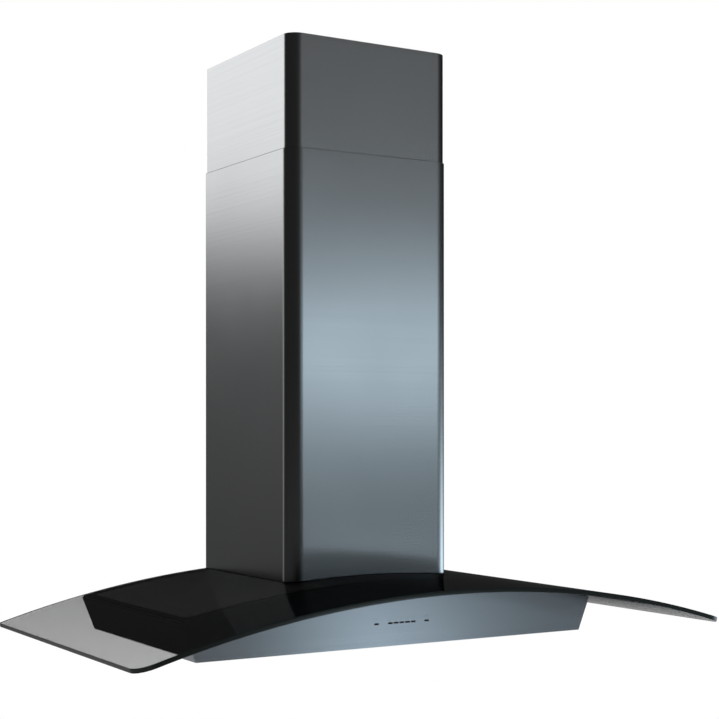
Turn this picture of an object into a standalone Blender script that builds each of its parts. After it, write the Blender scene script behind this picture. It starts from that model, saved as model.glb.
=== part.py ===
"""Ceiling-hung range hood with an arched glass canopy, metres, +Z up, origin at the ceiling."""

import math

import bmesh
import bpy
from mathutils import Matrix, Vector

# Whole hood
hood_drop = 0.836
gap = 0.0003
sheet = 0.001
# Glass canopy: its arc runs along X, heights are above the underside of the body
glass_width = 0.900
glass_front = -0.3615
glass_back = 0.133
glass_thickness = 0.006
glass_crest = 0.0898
glass_sag = 0.0673
glass_corner = 0.024
seal_thickness = 0.0012
# Body under the glass
body_front = -0.2106
body_bottom_half = 0.307
body_top_half = 0.3265
body_top_inset = 0.004
body_top_opening_half = 0.118
seal_inset = 0.0025
seal_band = 0.010
seal_opening_depth_half = 0.160
panel_thickness = 0.0015
# Duct covers
lower_cover_half = (0.132, 0.133)
upper_cover_half = (0.1303, 0.1313)
cover_corner = 0.0216
cover_back_corner = 0.003
lower_cover_top = 0.679
upper_cover_bottom = 0.400
# Frame of posts
ceiling_plate_half = 0.1185
ceiling_plate_thickness = 0.004
upper_post_corner = 0.118
lower_post_corner = 0.1155
post_leg = 0.020
post_thickness = 0.002
upper_post_bottom = 0.4557
lower_post_top = 0.600
support_bottom = 0.070
support_thickness = 0.003
neck_half = 0.1215
# Blower and duct
blower_half = 0.113
blower_top = 0.325
wheel_centre = (0.010, 0.190)
wheel_radius = 0.070
wheel_half_length = 0.055
blade_count = 20
scroll_half_width = 0.065
duct_radius = 0.075
collar_top = 0.500
sleeve_bottom = 0.395
flap_height = 0.360
# Controls
key_size = (0.0067, 0.0088, 0.002)
key_clearance = 0.00025
key_height = 0.031
key_proud = 0.0005
key_places = (-0.0404, -0.0184, -0.0092, 0.0, 0.0092, 0.0184, 0.0404)
# Underside
lamp_place = (0.200, -0.172)
lamp_radius = 0.031
filter_x = (0.009, 0.287)
filter_y = (-0.137, 0.120)
filter_thickness = 0.009
filter_bar = 0.016
filter_hinge = (0.1165, 0.0045)
latch_size = (0.032, 0.0065, 0.007)

glass_radius = (glass_width**2 / 4 + glass_sag**2) / (2 * glass_sag)
body_crest = glass_crest - glass_thickness - gap - seal_thickness - gap


for old in list(bpy.data.objects):
    bpy.data.objects.remove(old, do_unlink=True)

parts = bpy.data.collections.new("range_hood")
cutters = bpy.data.collections.new("cutters")
bpy.context.scene.collection.children.link(parts)
bpy.context.scene.collection.children.link(cutters)


def finish(name, colour, roughness, metallic):
    material = bpy.data.materials.new(name)
    material.use_nodes = True
    shader = material.node_tree.nodes["Principled BSDF"]
    shader.inputs["Base Color"].default_value = (*colour, 1.0)
    shader.inputs["Roughness"].default_value = roughness
    shader.inputs["Metallic"].default_value = metallic
    return material


steel = ((0.56, 0.57, 0.58), 0.32, 1.0)
zinc = ((0.62, 0.63, 0.64), 0.45, 1.0)
black_paint = ((0.02, 0.02, 0.022), 0.4, 0.0)
black_rubber = ((0.015, 0.015, 0.015), 0.8, 0.0)
black_plastic = ((0.018, 0.018, 0.02), 0.45, 0.0)
grey_glass = ((0.05, 0.055, 0.055), 0.05, 0.0)
aluminium = ((0.75, 0.76, 0.77), 0.4, 1.0)
lens_plastic = ((0.85, 0.86, 0.84), 0.35, 0.0)


def adopt(made, name, look):
    made.name = name
    made.data.name = name
    for owner in list(made.users_collection):
        owner.objects.unlink(made)
    parts.objects.link(made)
    made.data.materials.clear()
    made.data.materials.append(finish(name, *look))
    return made


def settle(made):
    """Puts the object's place into its mesh and leaves the object at the origin."""
    made.data.transform(made.matrix_world)
    made.matrix_world = Matrix.Identity(4)
    return made


def at_height(above_bottom):
    return above_bottom - hood_drop


def box(name, look, low, high):
    """A block between two corners, whose heights are above the body's underside."""
    size = Vector(high) - Vector(low)
    middle = (Vector(high) + Vector(low)) / 2
    bpy.ops.mesh.primitive_cube_add(size=1)
    made = bpy.context.object
    spot = Vector((middle.x, middle.y, at_height(middle.z)))
    made.matrix_world = Matrix.Translation(spot) @ Matrix.Diagonal((*size, 1))
    return settle(adopt(made, name, look))


planes = {
    "xy": Matrix.Identity(4),
    "xz": Matrix.Rotation(math.pi / 2, 4, "X"),
    "yz": Matrix.Rotation(math.pi / 2, 4, "Z") @ Matrix.Rotation(math.pi / 2, 4, "X"),
}


def flat(name, look, plane, loops, start, end):
    """Closed outlines filled in one plane and given depth from start to end across it."""
    curve = bpy.data.curves.new(name, "CURVE")
    curve.dimensions = "2D"
    curve.fill_mode = "BOTH"
    curve.extrude = abs(end - start) / 2
    for loop in loops:
        spline = curve.splines.new("POLY")
        spline.points.add(len(loop) - 1)
        for point, (across, up) in zip(spline.points, loop):
            point.co = (across, up, 0, 1)
        spline.use_cyclic_u = True
    holder = bpy.data.objects.new(name + "_outline", curve)
    parts.objects.link(holder)
    middle = (start + end) / 2
    depth_axis = {"xy": (0, 0, middle), "xz": (0, middle, 0), "yz": (middle, 0, 0)}[plane]
    lift = Vector((0, 0, -hood_drop))
    holder.matrix_world = Matrix.Translation(Vector(depth_axis) + lift) @ planes[plane]
    return meshed(holder, name, look)


def meshed(holder, name, look):
    """A curve's mesh with its caps welded, in place of the curve."""
    bpy.context.view_layer.update()
    mesh = bpy.data.meshes.new_from_object(
        holder.evaluated_get(bpy.context.evaluated_depsgraph_get())
    )
    made = bpy.data.objects.new(name, mesh)
    parts.objects.link(made)
    made.matrix_world = holder.matrix_world.copy()
    bpy.data.objects.remove(holder, do_unlink=True)
    weld = bmesh.new()
    weld.from_mesh(mesh)
    bmesh.ops.remove_doubles(weld, verts=weld.verts, dist=0.00001)
    bmesh.ops.recalc_face_normals(weld, faces=weld.faces)
    weld.to_mesh(mesh)
    weld.free()
    return settle(adopt(made, name, look))


def turned(name, look, profile, spot, axis="Z", steps=32):
    """A profile of (radius, along) points turned about an axis through spot."""
    mesh = bpy.data.meshes.new(name)
    made = bpy.data.objects.new(name, mesh)
    parts.objects.link(made)
    draw = bmesh.new()
    ring = [draw.verts.new((radius, 0, along)) for radius, along in profile]
    for first, second in zip(ring, ring[1:]):
        draw.edges.new((first, second))
    if profile[0][0] > 0:
        draw.edges.new((ring[-1], ring[0]))
    draw.to_mesh(mesh)
    draw.free()
    turn = made.modifiers.new("turn", "SCREW")
    turn.axis = "Z"
    turn.angle = math.tau
    turn.steps = steps
    turn.render_steps = steps
    turn.use_merge_vertices = True
    turn.merge_threshold = 0.00001
    tilt = {"Z": Matrix.Identity(4), "X": Matrix.Rotation(math.pi / 2, 4, "Y")}[axis]
    place = Matrix.Translation((spot[0], spot[1], at_height(spot[2])))
    made.matrix_world = place @ tilt
    return adopt(fixed(made), name, look)


def fixed(made):
    """The object with its modifiers applied and its faces turned outward."""
    bpy.context.view_layer.update()
    mesh = bpy.data.meshes.new_from_object(
        made.evaluated_get(bpy.context.evaluated_depsgraph_get())
    )
    made.modifiers.clear()
    made.data = mesh
    weld = bmesh.new()
    weld.from_mesh(mesh)
    bmesh.ops.recalc_face_normals(weld, faces=weld.faces)
    weld.to_mesh(mesh)
    weld.free()
    return settle(made)


def combine(target, tool, operation):
    for owner in list(tool.users_collection):
        owner.objects.unlink(tool)
    cutters.objects.link(tool)
    tool.hide_render = True
    tool.display_type = "WIRE"
    change = target.modifiers.new(operation.lower(), "BOOLEAN")
    change.operation = operation
    change.solver = "EXACT"
    change.object = tool
    return target


def pivot(made, point):
    """Moves the object's origin to a point, whose height is above the body's underside."""
    spot = Vector((point[0], point[1], at_height(point[2])))
    made.data.transform(Matrix.Translation(-spot))
    made.location = spot
    return made


def arc(crest, half_width, count=40):
    """Points of the canopy's arc at a crest height, from left to right."""
    bend = glass_radius - (glass_crest - crest)
    spots = [half_width * (2 * step / count - 1) for step in range(count + 1)]
    return [(across, crest - bend + math.sqrt(bend**2 - across**2)) for across in spots]


def arched_sheet(name, look, crest, thickness, half_width, front, back, count=40):
    top = arc(crest, half_width, count)
    bottom = arc(crest - thickness, half_width, count)
    return flat(name, look, "xz", [top + bottom[::-1]], front, back)


def rounded(half_x, half_y, corner, steps=6, middle=(0, 0), back_corner=None):
    """A rectangle with round corners, as a closed loop of points."""
    loop = []
    front_corner = corner
    for turn, (side_x, side_y) in enumerate(((1, 1), (-1, 1), (-1, -1), (1, -1))):
        corner = back_corner if back_corner and side_y > 0 else front_corner
        centre_x = middle[0] + side_x * (half_x - corner)
        centre_y = middle[1] + side_y * (half_y - corner)
        for step in range(steps + 1):
            angle = math.pi / 2 * (turn + step / steps)
            loop.append(
                (centre_x + corner * math.cos(angle), centre_y + corner * math.sin(angle))
            )
    return loop


def rectangle(x_range, y_range):
    (left, right), (near, far) = x_range, y_range
    return [(left, near), (right, near), (right, far), (left, far)]


def circle(centre, radius, count=32):
    angles = [math.tau * step / count for step in range(count)]
    return [
        (centre[0] + radius * math.cos(angle), centre[1] + radius * math.sin(angle))
        for angle in angles
    ]


def square(half):
    return rectangle((-half, half), (-half, half))


# Ceiling section
def ceiling_section():
    plate_bottom = hood_drop - ceiling_plate_thickness
    bolt_places = [(x * 0.088, y * 0.088) for x in (-1, 1) for y in (-1, 1)]
    bolt_holes = [circle(place, 0.0045, 16) for place in bolt_places]
    duct_hole = circle((0, 0), duct_radius + 0.004, 48)
    flat(
        "ceiling_plate",
        zinc,
        "xy",
        [square(ceiling_plate_half), duct_hole, *bolt_holes],
        plate_bottom,
        hood_drop,
    )
    head, shank, head_depth = 0.0065, 0.004, 0.005
    for number, place in enumerate(bolt_places, 1):
        profile = [
            (0, -gap - head_depth),
            (head, -gap - head_depth),
            (head, -gap),
            (shank, -gap),
            (shank, ceiling_plate_thickness - 2 * gap),
            (0, ceiling_plate_thickness - 2 * gap),
        ]
        turned(f"anchor_bolt_{number}", zinc, profile, (*place, plate_bottom), steps=12)
    posts("upper_post", upper_post_corner, upper_post_bottom, plate_bottom - gap)
    wall = cover_wall(upper_cover_half, cover_corner - 0.0017)
    flat("upper_duct_cover", steel, "xy", wall, upper_cover_bottom, hood_drop - gap)
    inner = duct_radius + 0.0015
    sleeve = [
        (inner, sleeve_bottom),
        (inner + sheet, sleeve_bottom),
        (inner + sheet, hood_drop - gap),
        (inner, hood_drop - gap),
    ]
    turned("duct_sleeve", zinc, sleeve, (0, 0, 0), steps=48)


def posts(name, corner, bottom, top):
    """Four upright angles, one at each corner of a square, open towards its middle."""
    corners = ((-1, -1), (1, -1), (1, 1), (-1, 1))
    for number, (side_x, side_y) in enumerate(corners, 1):
        inside, reach = corner - post_thickness, corner - post_leg
        outline = [
            (corner, corner),
            (corner, reach),
            (inside, reach),
            (inside, inside),
            (reach, inside),
            (reach, corner),
        ]
        loop = [(side_x * across, side_y * along) for across, along in outline]
        flat(f"{name}_{number}", zinc, "xy", [loop], bottom, top)


# Glass canopy and its cover
def glass_and_cover():
    canopy = arched_sheet(
        "glass_canopy",
        grey_glass,
        glass_crest,
        glass_thickness,
        glass_width / 2 + 0.010,
        glass_front - 0.010,
        glass_back + 0.010,
        count=48,
    )
    middle = (0, (glass_front + glass_back) / 2)
    half_depth = (glass_back - glass_front) / 2
    plan = flat(
        "glass_plan",
        grey_glass,
        "xy",
        [front_rounded(glass_width / 2, half_depth, middle[1]), rounded(neck_half, neck_half, 0.01)],
        -0.05,
        0.15,
    )
    combine(canopy, plan, "INTERSECT")
    fixed(canopy)
    wall = cover_wall(lower_cover_half, cover_corner)
    cover = flat("lower_duct_cover", steel, "xy", wall, 0.060, lower_cover_top)
    under = arc(glass_crest + gap, 0.2, 24)
    below = flat(
        "cover_cut", steel, "xz", [[*under, (0.2, 0.02), (-0.2, 0.02)]], -0.3, 0.3
    )
    combine(cover, below, "DIFFERENCE")
    pivot(fixed(cover), (0, 0, glass_crest + gap))


def cover_wall(half, corner):
    """A duct cover's outer and inner outlines: wide round corners in front, tight ones behind."""
    half_x, half_y = half
    back = cover_back_corner
    return [
        rounded(half_x, half_y, corner, back_corner=back),
        rounded(half_x - sheet, half_y - sheet, corner - sheet, back_corner=back - sheet),
    ]


def front_rounded(half_x, half_y, middle_y):
    """The canopy's outline in plan: round corners in front, square ones at the back."""
    loop = rounded(half_x, half_y, glass_corner, 10, (0, middle_y))
    front = [point for point in loop if point[1] < middle_y]
    back = [(half_x, middle_y + half_y), (-half_x, middle_y + half_y)]
    return front + back


# Body
def end_panel(name, front, back, openings=()):
    top = arc(body_crest, body_top_half)
    outline = [*top, (body_bottom_half, 0), (-body_bottom_half, 0)]
    return flat(name, steel, "xz", [outline, *openings], front, back)


def body():
    slot_x, slot_z = key_size[0] / 2 + key_clearance, key_size[2] / 2 + key_clearance
    slots = [
        rectangle((place - slot_x, place + slot_x), (key_height - slot_z, key_height + slot_z))
        for place in key_places
    ]
    inside_front = body_front + panel_thickness
    inside_back = glass_back - panel_thickness
    end_panel("front_panel", body_front, inside_front, slots)
    end_panel("back_panel", inside_back, glass_back)
    near, far = inside_front + gap, inside_back - gap
    side_top = arc(body_crest, body_top_half)[0][1]
    for side, name in ((-1, "side_panel_left"), (1, "side_panel_right")):
        outline = [
            (side * body_bottom_half, 0),
            (side * body_top_half, side_top),
            (side * (body_top_half - panel_thickness), side_top),
            (side * (body_bottom_half - panel_thickness), 0),
        ]
        flat(name, steel, "xz", [outline], near, far)
    top_half = body_top_half - body_top_inset
    top = arched_sheet("body_top", black_paint, body_crest, sheet, top_half, near, far)
    reach = body_top_opening_half
    hole = box("top_cut", black_paint, (-reach, -reach, 0.05), (reach, reach, 0.1))
    fixed(combine(top, hole, "DIFFERENCE"))
    seal_crest = body_crest + gap + seal_thickness
    seal_half = body_top_half - seal_inset
    seal_middle = (body_front + glass_back) / 2
    seal = arched_sheet(
        "glass_seal", black_rubber, seal_crest, seal_thickness, seal_half, body_front, glass_back
    )
    window = flat(
        "seal_cut",
        black_rubber,
        "xy",
        [rounded(seal_half - seal_band, seal_opening_depth_half, 0.01, 4, (0, seal_middle))],
        0.03,
        0.1,
    )
    fixed(combine(seal, window, "DIFFERENCE"))
    floor = body_bottom_half - panel_thickness - 0.0006
    openings = [circle((side * lamp_place[0], lamp_place[1]), lamp_radius + 0.0005) for side in (-1, 1)]
    margin = 0.0015
    for side in (-1, 1):
        ends = sorted((side * (filter_x[0] - margin), side * (filter_x[1] + margin)))
        openings.append(rectangle(ends, (filter_y[0] - margin, filter_y[1] + 0.0035)))
    flat(
        "underside_panel",
        steel,
        "xy",
        [rectangle((-floor, floor), (near, far)), *openings],
        0,
        0.0012,
    )
    ring = [rectangle((-0.130, 0.130), (-0.130, 0.129)), square(0.100)]
    flat("support_frame", zinc, "xy", ring, support_bottom, support_bottom + support_thickness)
    posts(
        "lower_post",
        lower_post_corner,
        support_bottom + support_thickness + gap,
        lower_post_top,
    )


# Blower
def blower():
    floor = support_bottom + support_thickness + gap
    case = box(
        "blower_box",
        zinc,
        (-blower_half, -blower_half, floor),
        (blower_half, blower_half, blower_top),
    )
    inner = blower_half - sheet
    hollow = box("box_cut", zinc, (-inner, -inner, 0), (inner, inner, blower_top - sheet))
    outlet = flat(
        "outlet_cut", zinc, "xy", [circle((0, 0), duct_radius - 0.0015, 48)], 0.30, 0.35
    )
    combine(case, hollow, "DIFFERENCE")
    fixed(combine(case, outlet, "DIFFERENCE"))
    top = blower_top - sheet - gap
    scroll(top)
    for side, name in ((-1, "scroll_side_left"), (1, "scroll_side_right")):
        plate = [rectangle((-0.108, 0.108), (0.100, top)), circle(wheel_centre, 0.060, 40)]
        near = scroll_half_width + gap
        ends = sorted((side * near, side * (near + sheet)))
        flat(name, zinc, "yz", plate, *ends)
    wheel()
    motor()
    collar = [
        (duct_radius - sheet, blower_top + gap),
        (duct_radius + 0.007, blower_top + gap),
        (duct_radius + 0.007, blower_top + 0.002),
        (duct_radius, blower_top + 0.002),
        (duct_radius, collar_top),
        (duct_radius - sheet, collar_top),
    ]
    turned("duct_collar", black_plastic, collar, (0, 0, 0), steps=48)
    for side, name in ((-1, "damper_flap_front"), (1, "damper_flap_back")):
        flap(name, side)


def scroll(top):
    """A band that winds out around the wheel and opens upward."""
    start, turn, steps = math.radians(50), math.radians(230), 28
    near, far = 0.075, 0.095
    centre_y, centre_z = wheel_centre
    route = [(centre_y + 0.055, top), (centre_y + 0.051, top - 0.055)]
    for step in range(steps + 1):
        angle = start - turn * step / steps
        reach = near + (far - near) * step / steps
        route.append((centre_y + reach * math.cos(angle), centre_z + reach * math.sin(angle)))
    route.append((centre_y - far, top))
    curve = bpy.data.curves.new("scroll_band", "CURVE")
    curve.dimensions = "3D"
    spline = curve.splines.new("POLY")
    spline.points.add(len(route) - 1)
    for point, (along, up) in zip(spline.points, route):
        point.co = (along, up, 0, 1)
    curve.extrude = scroll_half_width
    holder = bpy.data.objects.new("scroll_route", curve)
    parts.objects.link(holder)
    holder.matrix_world = Matrix.Translation((0, 0, -hood_drop)) @ planes["yz"]
    band = meshed(holder, "scroll_band", zinc)
    thicken = band.modifiers.new("thicken", "SOLIDIFY")
    thicken.thickness = sheet
    thicken.offset = 0
    fixed(band)


def wheel():
    """A double-inlet wheel: a drum slotted into blades, on a disc with a hub."""
    length, rim, hub, bore, disc = wheel_half_length, 0.064, 0.012, 0.0045, 0.002
    profile = [
        (rim, -length),
        (wheel_radius, -length),
        (wheel_radius, length),
        (rim, length),
        (rim, disc),
        (hub, disc),
        (hub, 0.020),
        (bore, 0.020),
        (bore, -disc),
        (rim, -disc),
    ]
    spot = (0, *wheel_centre)
    drum = turned("blower_wheel", aluminium, profile, spot, "X", blade_count * 2)
    for side in (-1, 1):
        slots = bmesh.new()
        for blade in range(blade_count):
            angle = math.tau * (blade + 0.5) / blade_count
            place = (
                Matrix.Translation((side * 0.0285, wheel_centre[0], at_height(wheel_centre[1])))
                @ Matrix.Rotation(angle, 4, "X")
                @ Matrix.Translation((0, 0, wheel_radius - 0.003))
                @ Matrix.Diagonal((0.041, 0.015, 0.012, 1))
            )
            bmesh.ops.create_cube(slots, size=1, matrix=place)
        mesh = bpy.data.meshes.new("blade_slots")
        slots.to_mesh(mesh)
        slots.free()
        tool = bpy.data.objects.new("blade_slots", mesh)
        parts.objects.link(tool)
        combine(drum, tool, "DIFFERENCE")
    pivot(fixed(drum), spot)


def motor():
    left = scroll_half_width + gap + sheet
    body_radius, shaft = 0.038, 0.004
    profile = [
        (0, -left),
        (body_radius - 0.004, -left),
        (body_radius, -left + 0.004),
        (body_radius, -0.014),
        (body_radius - 0.006, -0.008),
        (shaft, -0.008),
        (shaft, 0.018),
        (0, 0.018),
    ]
    turned("motor", black_paint, profile, (0, *wheel_centre), "X")
    middle = wheel_centre[0]
    box(
        "motor_bracket",
        zinc,
        (-left - gap - 0.002, middle - 0.015, 0.105),
        (-left - gap, middle + 0.015, 0.285),
    )


def flap(name, side):
    """Half of a round damper, hinged beside the duct's middle."""
    radius, edge, steps = 0.0725, 0.001, 20
    start = math.asin(edge / radius)
    angles = [start + (math.pi - 2 * start) * step / steps for step in range(steps + 1)]
    loop = [(radius * math.cos(angle), side * radius * math.sin(angle)) for angle in angles]
    made = flat(name, aluminium, "xy", [loop], flap_height - 0.0005, flap_height + 0.0005)
    pivot(made, (0, side * 0.004, flap_height))


# Controls, lamps, filters and wiring
def controls():
    key_back = body_front - key_proud + key_size[1]
    box(
        "control_box",
        black_plastic,
        (-0.055, key_back + 0.0014, 0.0015),
        (0.055, key_back + 0.018, 0.050),
    )
    half_x, half_z = key_size[0] / 2, key_size[2] / 2
    front = body_front - key_proud
    for number, place in enumerate(key_places, 1):
        key = box(
            f"key_{number}",
            black_plastic,
            (place - half_x, front, key_height - half_z),
            (place + half_x, key_back, key_height + half_z),
        )
        pivot(key, (place, front, key_height))


def underside():
    cup, wall, depth, lens_top = lamp_radius, 0.002, 0.018, 0.0035
    for side, label in ((-1, "left"), (1, "right")):
        spot = (side * lamp_place[0], lamp_place[1], 0)
        housing = [
            (0, depth),
            (cup, depth),
            (cup, 0),
            (cup - wall, 0),
            (cup - wall, lens_top + gap),
            (0, lens_top + gap),
        ]
        turned(f"lamp_housing_{label}", aluminium, housing, spot)
        lens_radius = cup - wall - gap
        lens = [(0, 0.0005), (lens_radius, 0.0005), (lens_radius, lens_top), (0, lens_top)]
        turned(f"lamp_lens_{label}", lens_plastic, lens, spot)
        grease_filter(side, label)


def grease_filter(side, label):
    (left, right), (near, far) = filter_x, filter_y
    middle = side * (left + right) / 2
    outer = sorted((side * left, side * right))
    inner = (outer[0] + filter_bar, outer[1] - filter_bar)
    window = rectangle(inner, (near + filter_bar, far - filter_bar))
    slot_near = near + 0.0035
    slot = rectangle((middle - 0.0165, middle + 0.0165), (slot_near, slot_near + 0.009))
    hinge = (middle, *filter_hinge)
    frame = flat(
        f"filter_frame_{label}",
        aluminium,
        "xy",
        [rectangle(outer, filter_y), window, slot],
        0,
        filter_thickness,
    )
    pivot(frame, hinge)
    mesh = box(
        f"filter_mesh_{label}",
        aluminium,
        (inner[0] + gap, near + filter_bar + gap, 0.002),
        (inner[1] - gap, far - filter_bar - gap, 0.007),
    )
    pivot(mesh, hinge)
    half, length, depth = latch_size[0] / 2, latch_size[1], latch_size[2]
    latch = box(
        f"filter_latch_{label}",
        black_plastic,
        (middle - half, slot_near + gap, 0.001),
        (middle + half, slot_near + gap + length, 0.001 + depth),
    )
    pivot(latch, (middle, slot_near + gap, 0.001))


def wiring():
    floor = blower_top + gap
    box("junction_box", black_plastic, (-0.04, 0.0835, floor), (0.04, 0.1115, floor + 0.035))
    gland = [(0, 0), (0.009, 0), (0.009, 0.008), (0.0065, 0.010), (0.0065, 0.018), (0, 0.018)]
    turned("cable_gland", black_plastic, gland, (0, 0.0975, floor + 0.035 + gap), steps=20)


ceiling_section()
glass_and_cover()
body()
blower()
controls()
underside()
wiring()
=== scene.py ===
import math

import bmesh
import bpy
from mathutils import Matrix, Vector


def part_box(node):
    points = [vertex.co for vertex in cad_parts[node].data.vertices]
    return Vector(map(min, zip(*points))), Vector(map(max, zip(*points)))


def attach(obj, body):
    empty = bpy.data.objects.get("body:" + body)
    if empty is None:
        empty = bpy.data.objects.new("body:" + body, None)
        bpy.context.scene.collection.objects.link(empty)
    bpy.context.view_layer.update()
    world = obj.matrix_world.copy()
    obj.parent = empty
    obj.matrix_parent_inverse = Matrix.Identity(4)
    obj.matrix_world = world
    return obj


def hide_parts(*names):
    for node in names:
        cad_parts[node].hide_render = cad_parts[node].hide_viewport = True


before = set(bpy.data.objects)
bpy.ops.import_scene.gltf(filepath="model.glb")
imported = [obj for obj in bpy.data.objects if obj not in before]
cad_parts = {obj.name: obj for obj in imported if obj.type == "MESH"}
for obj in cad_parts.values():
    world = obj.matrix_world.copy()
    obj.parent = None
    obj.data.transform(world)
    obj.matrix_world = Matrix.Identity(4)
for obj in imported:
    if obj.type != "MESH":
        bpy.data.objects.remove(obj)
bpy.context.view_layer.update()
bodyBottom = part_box("front_panel")[0].z
print("frame loaded:", len(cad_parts), "nodes")

# Small helpers


def clearSelection():
    if bpy.context.object and bpy.context.object.mode != "OBJECT":
        bpy.ops.object.mode_set(mode="OBJECT")
    bpy.ops.object.select_all(action="DESELECT")


def activate(piece):
    clearSelection()
    piece.select_set(True)
    bpy.context.view_layer.objects.active = piece


def nameIt(piece, name):
    piece.name = name
    piece.data.name = name
    return piece


def placeInMesh(piece):
    activate(piece)
    bpy.ops.object.transform_apply(location=True, rotation=True, scale=True)
    return piece


def addBox(name, low, high):
    clearSelection()
    middle = [(a + b) / 2 for a, b in zip(low, high)]
    size = [b - a for a, b in zip(low, high)]
    bpy.ops.mesh.primitive_cube_add(size=1, location=middle)
    piece = nameIt(bpy.context.object, name)
    piece.scale = size
    return placeInMesh(piece)


def addTube(name, radius, depth, middle, sides=48, turned=(0, 0, 0)):
    clearSelection()
    bpy.ops.mesh.primitive_cylinder_add(
        vertices=sides, radius=radius, depth=depth, location=middle, rotation=turned
    )
    return placeInMesh(nameIt(bpy.context.object, name))


def pickFaces(piece, test):
    activate(piece)
    bpy.ops.object.mode_set(mode="EDIT")
    bpy.ops.mesh.select_mode(type="FACE")
    bpy.ops.mesh.select_all(action="DESELECT")
    shape = bmesh.from_edit_mesh(piece.data)
    for face in shape.faces:
        face.select_set(test(face))
    bmesh.update_edit_mesh(piece.data)


def pickEdges(piece, test):
    activate(piece)
    bpy.ops.object.mode_set(mode="EDIT")
    bpy.ops.mesh.select_mode(type="EDGE")
    bpy.ops.mesh.select_all(action="DESELECT")
    shape = bmesh.from_edit_mesh(piece.data)
    for edge in shape.edges:
        edge.select_set(test(*[corner.co for corner in edge.verts]))
    bmesh.update_edit_mesh(piece.data)


def leaveEdit():
    bpy.ops.object.mode_set(mode="OBJECT")


def removeFaces(piece, test):
    pickFaces(piece, test)
    bpy.ops.mesh.delete(type="FACE")
    leaveEdit()


def cutAcross(piece, spots, normal):
    activate(piece)
    bpy.ops.object.mode_set(mode="EDIT")
    for spot in spots:
        bpy.ops.mesh.select_all(action="SELECT")
        bpy.ops.mesh.bisect(plane_co=spot, plane_no=normal)
    leaveEdit()


def useModifier(piece, kind, **settings):
    activate(piece)
    change = piece.modifiers.new(kind.lower(), kind)
    for key, value in settings.items():
        setattr(change, key, value)
    bpy.ops.object.modifier_apply(modifier=change.name)
    return piece


def softEdges(piece, width, segments=2, angle=30):
    useModifier(
        piece,
        "BEVEL",
        width=width,
        segments=segments,
        limit_method="ANGLE",
        angle_limit=math.radians(angle),
        harden_normals=False,
    )
    return smooth(piece)


def smooth(piece, angle=32):
    activate(piece)
    bpy.ops.object.shade_smooth_by_angle(angle=math.radians(angle))
    return useModifier(piece, "WEIGHTED_NORMAL", weight=100, keep_sharp=True)


def wear(piece, material):
    piece.data.materials.clear()
    piece.data.materials.append(material)
    return piece


def copyPiece(piece, name, shift):
    twin = piece.copy()
    twin.data = piece.data.copy()
    bpy.context.scene.collection.objects.link(twin)
    nameIt(twin, name)
    for corner in twin.data.vertices:
        corner.co += Vector(shift)
    return twin


# Materials


def startMaterial(name):
    material = bpy.data.materials.new(name)
    material.use_nodes = True
    return material, material.node_tree, material.node_tree.nodes["Principled BSDF"]


def addNode(tree, kind, **settings):
    node = tree.nodes.new(kind)
    for key, value in settings.items():
        setattr(node, key, value)
    return node


def mixColours(tree, factor, low, high):
    mix = addNode(tree, "ShaderNodeMix", data_type="RGBA")
    tree.links.new(factor, mix.inputs["Factor"])
    mix.inputs["A"].default_value = (*low, 1)
    mix.inputs["B"].default_value = (*high, 1)
    return mix.outputs["Result"]


def spread(tree, value, low, high):
    span = addNode(tree, "ShaderNodeMapRange")
    tree.links.new(value, span.inputs["Value"])
    span.inputs["To Min"].default_value = low
    span.inputs["To Max"].default_value = high
    return span.outputs["Result"]


def grainGroup():
    group = bpy.data.node_groups.new("brushedGrain", "ShaderNodeTree")
    face = group.interface
    face.new_socket("Stretch", in_out="INPUT", socket_type="NodeSocketVector")
    face.new_socket("Streaks", in_out="OUTPUT", socket_type="NodeSocketFloat")
    face.new_socket("Clouds", in_out="OUTPUT", socket_type="NodeSocketFloat")
    inlet = addNode(group, "NodeGroupInput")
    outlet = addNode(group, "NodeGroupOutput")
    place = addNode(group, "ShaderNodeTexCoord")
    mapping = addNode(group, "ShaderNodeMapping")
    streaks = addNode(group, "ShaderNodeTexNoise")
    streaks.inputs["Scale"].default_value = 1.0
    streaks.inputs["Detail"].default_value = 3.0
    clouds = addNode(group, "ShaderNodeTexNoise")
    clouds.inputs["Scale"].default_value = 5.0
    clouds.inputs["Detail"].default_value = 2.0
    link = group.links.new
    link(place.outputs["Object"], mapping.inputs["Vector"])
    link(inlet.outputs["Stretch"], mapping.inputs["Scale"])
    link(mapping.outputs["Vector"], streaks.inputs["Vector"])
    link(place.outputs["Object"], clouds.inputs["Vector"])
    link(streaks.outputs["Fac"], outlet.inputs["Streaks"])
    link(clouds.outputs["Fac"], outlet.inputs["Clouds"])
    return group


def speckleGroup():
    group = bpy.data.node_groups.new("fineSpeckle", "ShaderNodeTree")
    face = group.interface
    face.new_socket("Size", in_out="INPUT", socket_type="NodeSocketFloat")
    face.new_socket("Speckle", in_out="OUTPUT", socket_type="NodeSocketFloat")
    face.new_socket("Patches", in_out="OUTPUT", socket_type="NodeSocketFloat")
    inlet = addNode(group, "NodeGroupInput")
    outlet = addNode(group, "NodeGroupOutput")
    place = addNode(group, "ShaderNodeTexCoord")
    speckle = addNode(group, "ShaderNodeTexNoise")
    speckle.inputs["Detail"].default_value = 4.0
    patches = addNode(group, "ShaderNodeTexNoise")
    patches.inputs["Scale"].default_value = 9.0
    link = group.links.new
    link(place.outputs["Object"], speckle.inputs["Vector"])
    link(inlet.outputs["Size"], speckle.inputs["Scale"])
    link(place.outputs["Object"], patches.inputs["Vector"])
    link(speckle.outputs["Fac"], outlet.inputs["Speckle"])
    link(patches.outputs["Fac"], outlet.inputs["Patches"])
    return group


grain = grainGroup()
speckle = speckleGroup()


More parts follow.
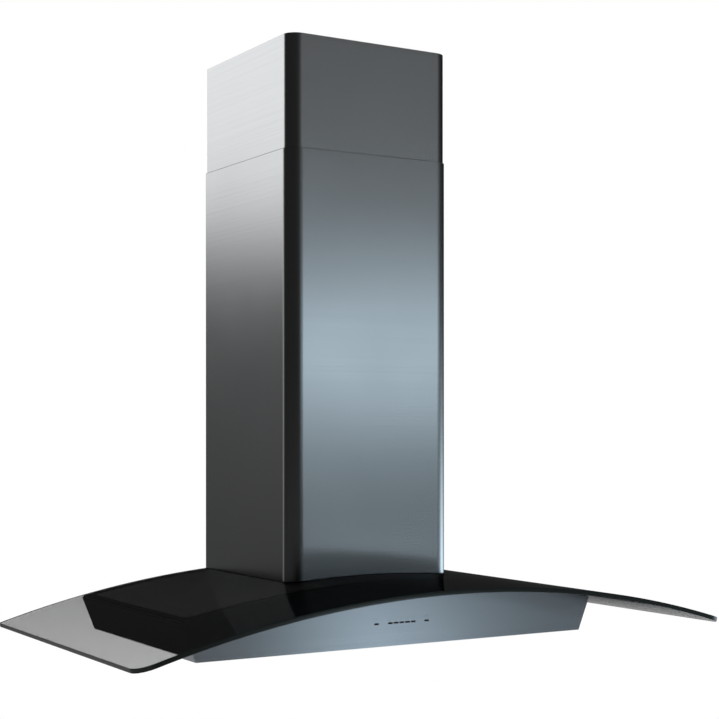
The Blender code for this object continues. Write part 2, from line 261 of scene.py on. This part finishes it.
def placeGroup(tree, group, **values):
    node = addNode(tree, "ShaderNodeGroup", node_tree=group)
    for key, value in values.items():
        node.inputs[key].default_value = value
    return node


def bumpFrom(tree, height, strength, distance, shader):
    bump = addNode(tree, "ShaderNodeBump")
    bump.inputs["Strength"].default_value = strength
    bump.inputs["Distance"].default_value = distance
    tree.links.new(height, bump.inputs["Height"])
    tree.links.new(bump.outputs["Normal"], shader.inputs["Normal"])


def brushedSteel(name, stretch, dark, light, rough=(0.15, 0.20), anisotropy=0.5):
    material, tree, shader = startMaterial(name)
    lines = placeGroup(tree, grain, Stretch=stretch)
    colour = mixColours(tree, lines.outputs["Streaks"], dark, light)
    tree.links.new(colour, shader.inputs["Base Color"])
    tree.links.new(
        spread(tree, lines.outputs["Clouds"], *rough), shader.inputs["Roughness"]
    )
    shader.inputs["Metallic"].default_value = 1.0
    shader.inputs["Anisotropic"].default_value = anisotropy
    shader.inputs["Anisotropic Rotation"].default_value = 0.25
    if anisotropy:
        around = addNode(tree, "ShaderNodeTangent", direction_type="RADIAL", axis="Z")
        tree.links.new(around.outputs["Tangent"], shader.inputs["Tangent"])
    bumpFrom(tree, lines.outputs["Streaks"], 0.08, 0.00004, shader)
    return material


def speckledFinish(name, dark, light, rough, metallic=0.0, size=900.0, bump=0.15):
    material, tree, shader = startMaterial(name)
    dots = placeGroup(tree, speckle, Size=size)
    colour = mixColours(tree, dots.outputs["Patches"], dark, light)
    tree.links.new(colour, shader.inputs["Base Color"])
    tree.links.new(
        spread(tree, dots.outputs["Speckle"], *rough), shader.inputs["Roughness"]
    )
    shader.inputs["Metallic"].default_value = metallic
    bumpFrom(tree, dots.outputs["Speckle"], bump, 0.0001, shader)
    return material


def smokedGlass(name, tint):
    material, tree, shader = startMaterial(name)
    dots = placeGroup(tree, speckle, Size=120.0)
    soft = tuple(channel * 0.97 for channel in tint)
    tree.links.new(
        mixColours(tree, dots.outputs["Patches"], soft, tint), shader.inputs["Base Color"]
    )
    tree.links.new(
        spread(tree, dots.outputs["Patches"], 0.0, 0.03), shader.inputs["Roughness"]
    )
    shader.inputs["Transmission Weight"].default_value = 1.0
    shader.inputs["IOR"].default_value = 1.5
    return material


levelGrain = (1.5, 1.5, 420.0)
deepGrain = (1.5, 420.0, 1.5)
coverSteel = brushedSteel("coverSteel", levelGrain, (0.52, 0.535, 0.55), (0.60, 0.61, 0.62))
panelSteel = brushedSteel("panelSteel", levelGrain, (0.50, 0.53, 0.57), (0.58, 0.61, 0.64))
undersideSteel = brushedSteel(
    "undersideSteel", deepGrain, (0.48, 0.49, 0.50), (0.56, 0.57, 0.58), (0.30, 0.40), 0.0
)
zincSheet = speckledFinish(
    "zincSheet", (0.42, 0.43, 0.44), (0.58, 0.59, 0.60), (0.35, 0.5), 1.0, 60.0
)
blackEnamel = speckledFinish(
    "blackEnamel", (0.006, 0.006, 0.007), (0.009, 0.009, 0.010), (0.16, 0.24), 0.0, 300.0, 0.05
)
topLacquer = speckledFinish(
    "topLacquer", (0.125, 0.125, 0.127), (0.150, 0.150, 0.152), (0.55, 0.65), 0.0, 300.0, 0.05
)
blackRubber = speckledFinish(
    "blackRubber", (0.010, 0.010, 0.010), (0.016, 0.016, 0.016), (0.7, 0.85), 0.0, 700.0
)
blackPlastic = speckledFinish(
    "blackPlastic", (0.005, 0.005, 0.006), (0.009, 0.009, 0.010), (0.42, 0.55), 0.0, 1200.0
)
satinAluminium = speckledFinish(
    "satinAluminium", (0.66, 0.67, 0.68), (0.76, 0.77, 0.78), (0.3, 0.42), 1.0, 500.0, 0.08
)
frostedLens = speckledFinish(
    "frostedLens", (0.74, 0.75, 0.72), (0.84, 0.84, 0.81), (0.28, 0.4), 0.0, 1500.0, 0.3
)
printedMark = speckledFinish(
    "printedMark", (0.030, 0.032, 0.036), (0.05, 0.052, 0.056), (0.5, 0.6), 0.0, 2000.0
)
canopyGlass = smokedGlass("canopyGlass", (0.70, 0.705, 0.71))
glassEdge = speckledFinish(
    "glassEdge", (0.004, 0.006, 0.005), (0.008, 0.011, 0.010), (0.08, 0.16), 0.0, 200.0, 0.02
)

nodeFinish = {
    "ceiling_plate": zincSheet,
    "anchor_bolt": zincSheet,
    "upper_post": zincSheet,
    "lower_post": zincSheet,
    "duct_sleeve": zincSheet,
    "support_frame": zincSheet,
    "blower_box": zincSheet,
    "scroll": zincSheet,
    "motor_bracket": zincSheet,
    "motor": blackEnamel,
    "body_top": topLacquer,
    "blower_wheel": satinAluminium,
    "damper_flap": satinAluminium,
    "lamp_housing": satinAluminium,
    "filter_frame": satinAluminium,
    "filter_mesh": satinAluminium,
    "lamp_lens": frostedLens,
    "duct_collar": blackPlastic,
    "control_box": blackPlastic,
    "junction_box": blackPlastic,
    "cable_gland": blackPlastic,
    "filter_latch": blackPlastic,
    "key": blackPlastic,
    "glass_seal": blackRubber,
    "glass_canopy": canopyGlass,
    "underside_panel": undersideSteel,
    "side_panel": panelSteel,
    "front_panel": panelSteel,
    "back_panel": panelSteel,
    "upper_duct_cover": coverSteel,
    "lower_duct_cover": coverSteel,
}
for nodeName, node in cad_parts.items():
    best = max((key for key in nodeFinish if nodeName.startswith(key)), key=len)
    wear(node, nodeFinish[best])
print("materials on every node")

# Glass canopy

canopy = {"thickness": 0.006, "corner": 0.024, "arris": 0.0006, "cuts": 96, "neck": 0.1215}


def canopyArc():
    low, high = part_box("glass_canopy")
    halfWidth = high.x
    sag = high.z - low.z - canopy["thickness"]
    radius = (halfWidth**2 + sag**2) / (2 * sag)
    return high.z, radius


glassCrest, glassRadius = canopyArc()


def arcHeight(across, crest):
    bend = glassRadius - (glassCrest - crest)
    return crest - bend + math.sqrt(bend**2 - across**2)


def makeCanopy():
    low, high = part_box("glass_canopy")
    clearSelection()
    middleY = (low.y + high.y) / 2
    bpy.ops.mesh.primitive_plane_add(size=1, location=(0, middleY, glassCrest))
    piece = nameIt(bpy.context.object, "canopySheet")
    piece.scale = (high.x - low.x, high.y - low.y, 1)
    placeInMesh(piece)
    activate(piece)
    bpy.ops.object.mode_set(mode="EDIT")
    bpy.ops.mesh.select_mode(type="VERT")
    bpy.ops.mesh.select_all(action="DESELECT")
    shape = bmesh.from_edit_mesh(piece.data)
    for corner in shape.verts:
        corner.select_set(corner.co.y < middleY)
    bmesh.update_edit_mesh(piece.data)
    bpy.ops.mesh.bevel(offset=canopy["corner"], segments=14, affect="VERTICES")
    leaveEdit()
    neck, cuts = canopy["neck"], canopy["cuts"]
    across = [low.x + (high.x - low.x) * step / cuts for step in range(1, cuts)]
    cutAcross(piece, [(spot, 0, 0) for spot in [*across, -neck, neck]], (1, 0, 0))
    cutAcross(piece, [(0, -neck, 0), (0, neck, 0)], (0, 1, 0))
    removeFaces(
        piece,
        lambda face: abs(face.calc_center_median().x) < neck
        and abs(face.calc_center_median().y) < neck,
    )
    for corner in piece.data.vertices:
        corner.co.z = arcHeight(corner.co.x, glassCrest)
    useModifier(piece, "SOLIDIFY", thickness=canopy["thickness"], offset=-1)
    softEdges(piece, canopy["arris"], 2, 50)
    smooth(piece, 25)
    wear(piece, canopyGlass)
    piece.data.materials.append(glassEdge)
    for face in piece.data.polygons:
        face.material_index = 0 if abs(face.normal.z) > 0.9 else 1
    return piece


canopySheet = makeCanopy()
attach(canopySheet, "hood")
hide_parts("glass_canopy")
print("canopy made")

# Duct covers

cover = {
    "frontCorner": 0.0216,
    "backCorner": 0.003,
    "sheet": 0.001,
    "lip": 0.012,
    "soften": 0.0003,
    "overGlass": 0.0003,
    "upperInset": 0.0017,
}
rim = {"rise": 0.0009, "turnIn": 0.0006}  # the lower cover's top edge, turned in


def makeCover(name, node, frontCorner, followArc):
    low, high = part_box(node)
    piece = addBox(name, low, high)
    removeFaces(piece, lambda face: abs(face.normal.z) > 0.9)

    def upright(a, b):
        return abs(a.z - b.z) > 0.1

    pickEdges(piece, lambda a, b: upright(a, b) and a.y < 0)
    bpy.ops.mesh.bevel(offset=frontCorner, segments=10, affect="EDGES")
    leaveEdit()
    near = 0.0001
    pickEdges(piece, lambda a, b: upright(a, b) and a.y > high.y - near and abs(a.x) > high.x - near)
    bpy.ops.mesh.bevel(offset=cover["backCorner"], segments=4, affect="EDGES")
    leaveEdit()
    if followArc:
        spots = [(high.x * step / 12, 0, 0) for step in range(-11, 12)]
        cutAcross(piece, spots, (1, 0, 0))
        for corner in piece.data.vertices:
            if corner.co.z < low.z + 0.001:
                corner.co.z = arcHeight(corner.co.x, glassCrest) + cover["overGlass"]
        cutAcross(piece, [(0, 0, high.z - rim["rise"])], (0, 0, 1))
        for corner in piece.data.vertices:
            if corner.co.z > high.z - rim["rise"] / 2:
                corner.co.x *= 1 - rim["turnIn"] / high.x
                corner.co.y *= 1 - rim["turnIn"] / high.y
    cutAcross(piece, [(0, 0, high.z - cover["lip"])], (0, 0, 1))
    useModifier(piece, "SOLIDIFY", thickness=cover["sheet"], offset=-1)
    softEdges(piece, cover["soften"], 2, 60)
    smooth(piece, 30)
    return wear(piece, coverSteel)


lowerCover = makeCover("lowerCover", "lower_duct_cover", cover["frontCorner"], True)
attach(lowerCover, "lower_cover")
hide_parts("lower_duct_cover")
upperCover = makeCover("upperCover", "upper_duct_cover", cover["frontCorner"] - cover["upperInset"], False)
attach(upperCover, "ceiling_section")
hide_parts("upper_duct_cover")
print("covers made")

# Keys and printed marks

keyShape = {
    "soften": 0.0002,
    "rimWidth": 0.0004,
    "dish": 0.00008,
    "markRise": 0.0064,
    "markSize": 0.0014,
    "markDepth": 0.0001,
}


def makeKeys():
    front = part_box("front_panel")[0].y
    for number in range(1, 8):
        low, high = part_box(f"key_{number}")
        cap = addBox(f"keyCap{number}", low, high)
        pickFaces(cap, lambda face: face.normal.y < -0.9)
        bpy.ops.mesh.inset(thickness=keyShape["rimWidth"], depth=-keyShape["dish"])
        leaveEdit()
        softEdges(cap, keyShape["soften"], 2)
        wear(cap, blackPlastic)
        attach(cap, f"key_body_{number}")
        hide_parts(f"key_{number}")
        middle = (low + high) / 2
        spot = (middle.x, front - keyShape["markDepth"] / 2, middle.z + keyShape["markRise"])
        mark = makeMark(f"keyMark{number}", number, spot)
        wear(mark, printedMark)
        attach(mark, "hood")


def makeMark(name, number, spot):
    half = keyShape["markSize"] / 2
    sides = {1: 4, 7: 24}.get(number, 3 + number % 2)
    mark = addTube(name, half, keyShape["markDepth"], spot, sides, (math.pi / 2, 0, 0))
    pickFaces(mark, lambda face: face.normal.y < -0.9)
    bpy.ops.mesh.inset(thickness=half * 0.35)
    leaveEdit()
    removeFaces(mark, lambda face: face.normal.y < -0.9 and face.calc_area() < half * half)
    return mark


makeKeys()
print("keys made")

# Filters, lamps and screws on the underside

screen = {"cell": 0.009, "strand": 0.0011, "lift": 0.0012, "margin": 0.001}
pad = {"lift": 0.0026, "soften": 0.0005}


def makeScreen(side):
    low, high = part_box(f"filter_mesh_{side}")
    clearSelection()
    middle = (low + high) / 2
    across = round((high.x - low.x) / screen["cell"])
    deep = round((high.y - low.y) / screen["cell"])
    spot = (middle.x, middle.y, low.z + screen["lift"])
    bpy.ops.mesh.primitive_grid_add(x_subdivisions=across, y_subdivisions=deep, size=1, location=spot)
    piece = nameIt(bpy.context.object, f"filterScreen_{side}")
    piece.scale = (high.x - low.x - screen["margin"], high.y - low.y - screen["margin"], 1)
    placeInMesh(piece)
    activate(piece)
    bpy.ops.object.mode_set(mode="EDIT")
    bpy.ops.mesh.select_all(action="SELECT")
    bpy.ops.mesh.poke()
    bpy.ops.mesh.select_all(action="DESELECT")
    bpy.ops.mesh.select_mode(type="EDGE")
    shape = bmesh.from_edit_mesh(piece.data)
    for edge in shape.edges:
        step = edge.verts[0].co - edge.verts[1].co
        straight = min(abs(step.x), abs(step.y)) < 0.0001
        edge.select_set(straight and len(edge.link_faces) == 2)
    bmesh.update_edit_mesh(piece.data)
    bpy.ops.mesh.dissolve_edges(use_verts=False)
    leaveEdit()
    useModifier(piece, "WIREFRAME", thickness=screen["strand"], use_even_offset=False, use_boundary=True)
    wear(piece, satinAluminium)
    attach(piece, f"filter_{side}")
    return piece


def makeFilter(side):
    meshLow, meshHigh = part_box(f"filter_mesh_{side}")
    makeScreen(side)
    cushion = addBox(
        f"filterPad_{side}",
        (meshLow.x, meshLow.y, meshLow.z + pad["lift"]),
        (meshHigh.x, meshHigh.y, meshHigh.z),
    )
    softEdges(cushion, pad["soften"])
    wear(cushion, padWeave)
    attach(cushion, f"filter_{side}")
    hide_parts(f"filter_mesh_{side}")


def meshWeave():
    material, tree, shader = startMaterial("padWeave")
    place = addNode(tree, "ShaderNodeTexCoord")
    cells = addNode(tree, "ShaderNodeTexVoronoi", feature="DISTANCE_TO_EDGE")
    cells.inputs["Scale"].default_value = 260.0
    tree.links.new(place.outputs["Object"], cells.inputs["Vector"])
    colour = mixColours(tree, cells.outputs["Distance"], (0.55, 0.56, 0.57), (0.10, 0.10, 0.11))
    tree.links.new(colour, shader.inputs["Base Color"])
    shader.inputs["Metallic"].default_value = 1.0
    shader.inputs["Roughness"].default_value = 0.42
    bumpFrom(tree, cells.outputs["Distance"], 0.6, 0.0008, shader)
    return material


padWeave = meshWeave()
for side in ("left", "right"):
    makeFilter(side)


lampRing = {"overlap": 0.0005, "thick": 0.0018, "lift": 0.0002, "flatten": 0.5}


def makeLampRing(side):
    low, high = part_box(f"lamp_housing_{side}")
    middle = (low + high) / 2
    radius = (high.x - low.x) / 2
    spot = (middle.x, middle.y, low.z + lampRing["lift"])
    clearSelection()
    bpy.ops.mesh.primitive_torus_add(
        location=spot,
        major_radius=radius + lampRing["overlap"],
        minor_radius=lampRing["thick"],
        major_segments=64,
        minor_segments=12,
    )
    ring = placeInMesh(nameIt(bpy.context.object, f"lampRing_{side}"))
    activate(ring)
    bpy.ops.object.mode_set(mode="EDIT")
    bpy.ops.mesh.select_all(action="SELECT")
    bpy.ops.transform.resize(value=(1, 1, lampRing["flatten"]), center_override=spot)
    leaveEdit()
    smooth(ring, 80)
    wear(ring, satinAluminium)
    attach(ring, "hood")


for side in ("left", "right"):
    makeLampRing(side)

screw = {
    "radius": 0.0032,
    "rise": 0.0009,
    "recess": 0.55,
    "sink": 0.0004,
    "soften": 0.00025,
    "edgeGap": 0.010,
    "backGap": 0.004,
    "inner": 0.34,
}


def makeScrews():
    low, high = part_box("underside_panel")
    head = addTube("undersideScrew1", screw["radius"], screw["rise"], (0, 0, 0), 24)
    pickFaces(head, lambda face: face.normal.z < -0.9)
    bpy.ops.mesh.inset(thickness=screw["radius"] * screw["recess"], depth=-screw["sink"])
    leaveEdit()
    softEdges(head, screw["soften"], 2)
    wear(head, zincSheet)
    edge, inner = screw["edgeGap"], screw["inner"]
    xSpots = (low.x + edge, low.x * inner, high.x * inner, high.x - edge)
    places = [(x, low.y + edge) for x in xSpots]
    places += [(x, high.y - screw["backGap"]) for x in xSpots]
    for number, (x, y) in enumerate(places, 1):
        spot = (x, y, low.z - screw["rise"] / 2)
        twin = copyPiece(head, f"panelScrew{number}", spot)
        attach(twin, "hood")
    bpy.data.objects.remove(head, do_unlink=True)


makeScrews()
print("underside made")

# Room, light and camera

room = {"floorDrop": 0.80, "floorSize": 60.0}


def makeFloor():
    clearSelection()
    spot = (0, 0, bodyBottom - room["floorDrop"])
    bpy.ops.mesh.primitive_plane_add(size=room["floorSize"], location=spot)
    floor = nameIt(bpy.context.object, "floor")
    material, tree, shader = startMaterial("paleFloor")
    path = addNode(tree, "ShaderNodeLightPath")
    direct = addNode(tree, "ShaderNodeMath", operation="LESS_THAN")
    through = addNode(tree, "ShaderNodeMath", operation="MULTIPLY")
    seen = addNode(tree, "ShaderNodeMath", operation="MAXIMUM")
    glow = addNode(tree, "ShaderNodeEmission")
    mix = addNode(tree, "ShaderNodeMixShader")
    direct.inputs[1].default_value = 0.5
    tree.links.new(path.outputs["Glossy Depth"], direct.inputs[0])
    tree.links.new(path.outputs["Is Transmission Ray"], through.inputs[0])
    tree.links.new(direct.outputs["Value"], through.inputs[1])
    tree.links.new(path.outputs["Is Camera Ray"], seen.inputs[0])
    tree.links.new(through.outputs["Value"], seen.inputs[1])
    tree.links.new(seen.outputs["Value"], mix.inputs["Fac"])
    tree.links.new(shader.outputs["BSDF"], mix.inputs[1])
    tree.links.new(glow.outputs["Emission"], mix.inputs[2])
    tree.links.new(mix.outputs["Shader"], tree.nodes["Material Output"].inputs["Surface"])
    shader.inputs["Base Color"].default_value = (0.8, 0.8, 0.8, 1)
    shader.inputs["Roughness"].default_value = 0.9
    wear(floor, material)
    floor.visible_glossy = False


makeFloor()

# Soft shapes of studio light: heading from +Y towards +X and height in degrees, their
# spreads, strength, tint and how crisp their edges are
studio = {
    "level": 0.018,  # light from everywhere
    "echo": 0.03,  # what is left after a second reflection
    "under": 0.03,  # what reaches metal that lies under the glass
    "neutral": (1.0, 1.0, 1.0),
    "cool": (0.80, 1.0, 1.13),
    "glows": (
        (-26, 16.4, 22, 9.6, 1.28, "neutral", 10),
        (-26, 1, 25, 8, 0.062, "neutral", 2),
        (148, 2.75, 17, 1.6, 2.15, "cool", 2),
        (148, 12, 26, 10, 0.145, "neutral", 2),
        (148, -9.5, 16, 3, 0.06, "neutral", 2),
        (148.1, -8.8, 2.9, 1.6, 2.1, "cool", 2),
        (95, -8, 26, 6, 2.3, "cool", 2),
        (-50, 6, 6, 14, 0.40, "neutral", 2),
        (180, 55, 90, 25, 0.06, "neutral", 2),
        (0, -19, 400, 7, 0.26, "neutral", 2),
        (0, -36, 400, 12, 0.34, "neutral", 2),
    ),
}


def makeWorld():
    world = bpy.data.worlds.new("studioWorld")
    bpy.context.scene.world = world
    world.use_nodes = True
    tree = world.node_tree
    tree.nodes.clear()
    place = addNode(tree, "ShaderNodeTexCoord")
    parts = addNode(tree, "ShaderNodeSeparateXYZ")
    tree.links.new(place.outputs["Generated"], parts.inputs["Vector"])

    def wire(node, values):
        for socket, value in zip(node.inputs, values):
            if hasattr(value, "links"):
                tree.links.new(value, socket)
            else:
                socket.default_value = value

    def calc(operation, *values):
        node = addNode(tree, "ShaderNodeMath", operation=operation)
        wire(node, values)
        return node.outputs["Value"]

    def tinted(colour, strength):
        node = addNode(tree, "ShaderNodeVectorMath", operation="SCALE")
        wire(node, [colour])
        tree.links.new(strength, node.inputs["Scale"])
        return node.outputs["Vector"]

    def together(first, second):
        node = addNode(tree, "ShaderNodeVectorMath", operation="ADD")
        wire(node, [first, second])
        return node.outputs["Vector"]

    heading = calc("ARCTAN2", parts.outputs["X"], parts.outputs["Y"])
    height = calc("ARCSINE", parts.outputs["Z"])
    total = None
    for turn, lift, wide, tall, strength, tint, crisp in studio["glows"]:
        away = calc("SUBTRACT", heading, math.radians(turn))
        wrapped = calc("ARCTAN2", calc("SINE", away), calc("COSINE", away))
        side = calc("DIVIDE", wrapped, math.radians(wide))
        up = calc("DIVIDE", calc("SUBTRACT", height, math.radians(lift)), math.radians(tall))
        sides = [calc("POWER", calc("ABSOLUTE", offset), crisp) for offset in (side, up)]
        far = calc("ADD", *sides)
        glow = calc("EXPONENT", calc("MULTIPLY", far, -1.0))
        part = tinted(studio[tint], calc("MULTIPLY", glow, strength))
        total = together(total or (studio["level"],) * 3, part)
    path = addNode(tree, "ShaderNodeLightPath")
    again = calc("GREATER_THAN", path.outputs["Glossy Depth"], 1.5)
    total = tinted(total, calc("SUBTRACT", 1.0, calc("MULTIPLY", again, 1 - studio["echo"])))
    covered = calc("GREATER_THAN", path.outputs["Transmission Depth"], 0.5)
    mirrored = calc("GREATER_THAN", path.outputs["Glossy Depth"], 0.5)
    below = calc("MULTIPLY", covered, mirrored)
    total = tinted(total, calc("SUBTRACT", 1.0, calc("MULTIPLY", below, 1 - studio["under"])))
    direct = calc("LESS_THAN", path.outputs["Glossy Depth"], 0.5)
    through = calc("MULTIPLY", path.outputs["Is Transmission Ray"], direct)
    seen = calc("MAXIMUM", path.outputs["Is Camera Ray"], through)
    hidden = tinted(total, calc("SUBTRACT", 1.0, seen))
    shown = together(hidden, tinted((1.0, 1.0, 1.0), seen))
    sky = addNode(tree, "ShaderNodeBackground")
    outlet = addNode(tree, "ShaderNodeOutputWorld")
    tree.links.new(shown, sky.inputs["Color"])
    tree.links.new(sky.outputs["Background"], outlet.inputs["Surface"])


makeWorld()


def addSoftbox(name, spot, target, size, power):
    clearSelection()
    bpy.ops.object.light_add(type="AREA", location=spot)
    lamp = bpy.context.object
    lamp.name = name
    lamp.data.size = size
    lamp.data.energy = power
    lamp.rotation_euler = (Vector(target) - Vector(spot)).to_track_quat("-Z", "Y").to_euler()
    lamp.visible_glossy = False
    lamp.visible_transmission = False


# Place, point lit, size and power
softboxes = {
    "softboxAbove": ((-1.2, -1.8, 1.0), (0, 0, -0.6), 2.0, 40),
    "softboxBelow": ((0.6, -1.6, -1.5), (0, 0, -0.8), 1.5, 15),
}
for name, settings in softboxes.items():
    addSoftbox(name, *settings)

view = {
    "spot": (-1.1188, -1.9572, 0.2964),
    "heading": 31.05,
    "lens": 76.34,
    "shiftUp": 0.0940,
}


def makeCamera():
    data = bpy.data.cameras.new("camera")
    camera = bpy.data.objects.new("camera", data)
    bpy.context.scene.collection.objects.link(camera)
    spot = view["spot"]
    camera.location = (spot[0], spot[1], spot[2] + bodyBottom)
    camera.rotation_euler = (math.pi / 2, 0, -math.radians(view["heading"]))
    data.sensor_width = 36
    data.lens = view["lens"]
    data.shift_y = view["shiftUp"]
    data.clip_end = 200
    bpy.context.scene.camera = camera


makeCamera()
bpy.context.scene.view_settings.view_transform = "Standard"
print("room, light and camera set")
